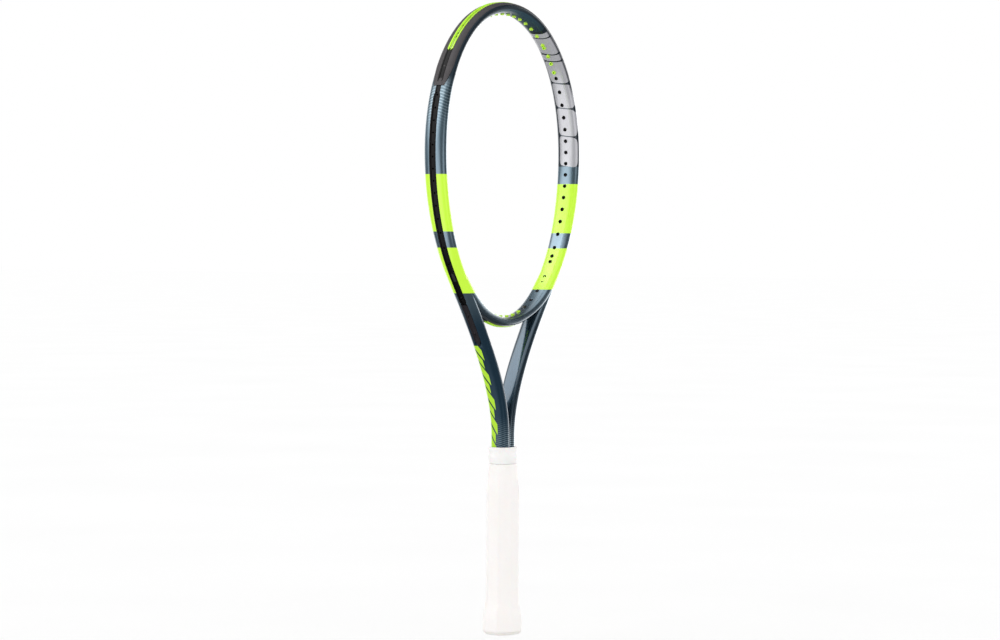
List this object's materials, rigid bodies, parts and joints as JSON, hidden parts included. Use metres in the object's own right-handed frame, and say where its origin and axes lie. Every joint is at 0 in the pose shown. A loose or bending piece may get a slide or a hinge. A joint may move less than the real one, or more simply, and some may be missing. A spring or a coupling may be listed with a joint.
{
  "type": "tennis racket",
  "caption": "Unstrung tennis racket: oval hoop with string grommets, open throat with bridge, two shafts into an octagonal wrapped handle with butt cap.",
  "frame": {"origin": "centre of the butt cap's end face", "axes": "+Z from the butt to the tip, +X across the string bed, +Y out of the back face of the string bed"},
  "size_m": [0.2698, 0.0402, 0.6858],
  "materials": {
    "frame_paint": "metallic slate teal lacquer with lime bands",
    "bumper_plastic": "fine grained matt",
    "lime_plastic": "satin",
    "black_plastic": "satin",
    "core_foam": "moulded foam skin",
    "white_plastic": "satin",
    "staple_steel": "bright wire",
    "grip_wrap": "tacky matt synthetic wrap",
    "white_tape": "vinyl tape",
    "collar_rubber": "matt"
  },
  "bodies": {
    "racket": {"frame_tube": "frame_paint", "throat_bridge": "frame_paint", "head_bumper": "bumper_plastic", "head_grommet_strip": "lime_plastic", "side_grommet_strip_left": "black_plastic", "side_grommet_strip_right": "black_plastic", "shaft_insert_left": "bumper_plastic", "shaft_insert_right": "bumper_plastic", "throat_grommet_strip": "lime_plastic", "handle_core": "core_foam", "butt_cap": "white_plastic", "butt_staples": "staple_steel", "grip_start_tack": "staple_steel", "base_grip": "grip_wrap", "finishing_tape": "white_tape"},
    "trap_door": {"butt_cap_door": "white_plastic"},
    "collar": {"grip_collar": "collar_rubber"}
  },
  "joints": [
    {"name": "door_pull", "type": "slide", "parent": "racket", "child": "trap_door", "axis": [0, 0, -1], "range_m": [0, 0.014]},
    {"name": "collar_roll", "type": "slide", "parent": "racket", "child": "collar", "axis": [0, 0, 1], "range_m": [0, 0.014]}
  ]
}
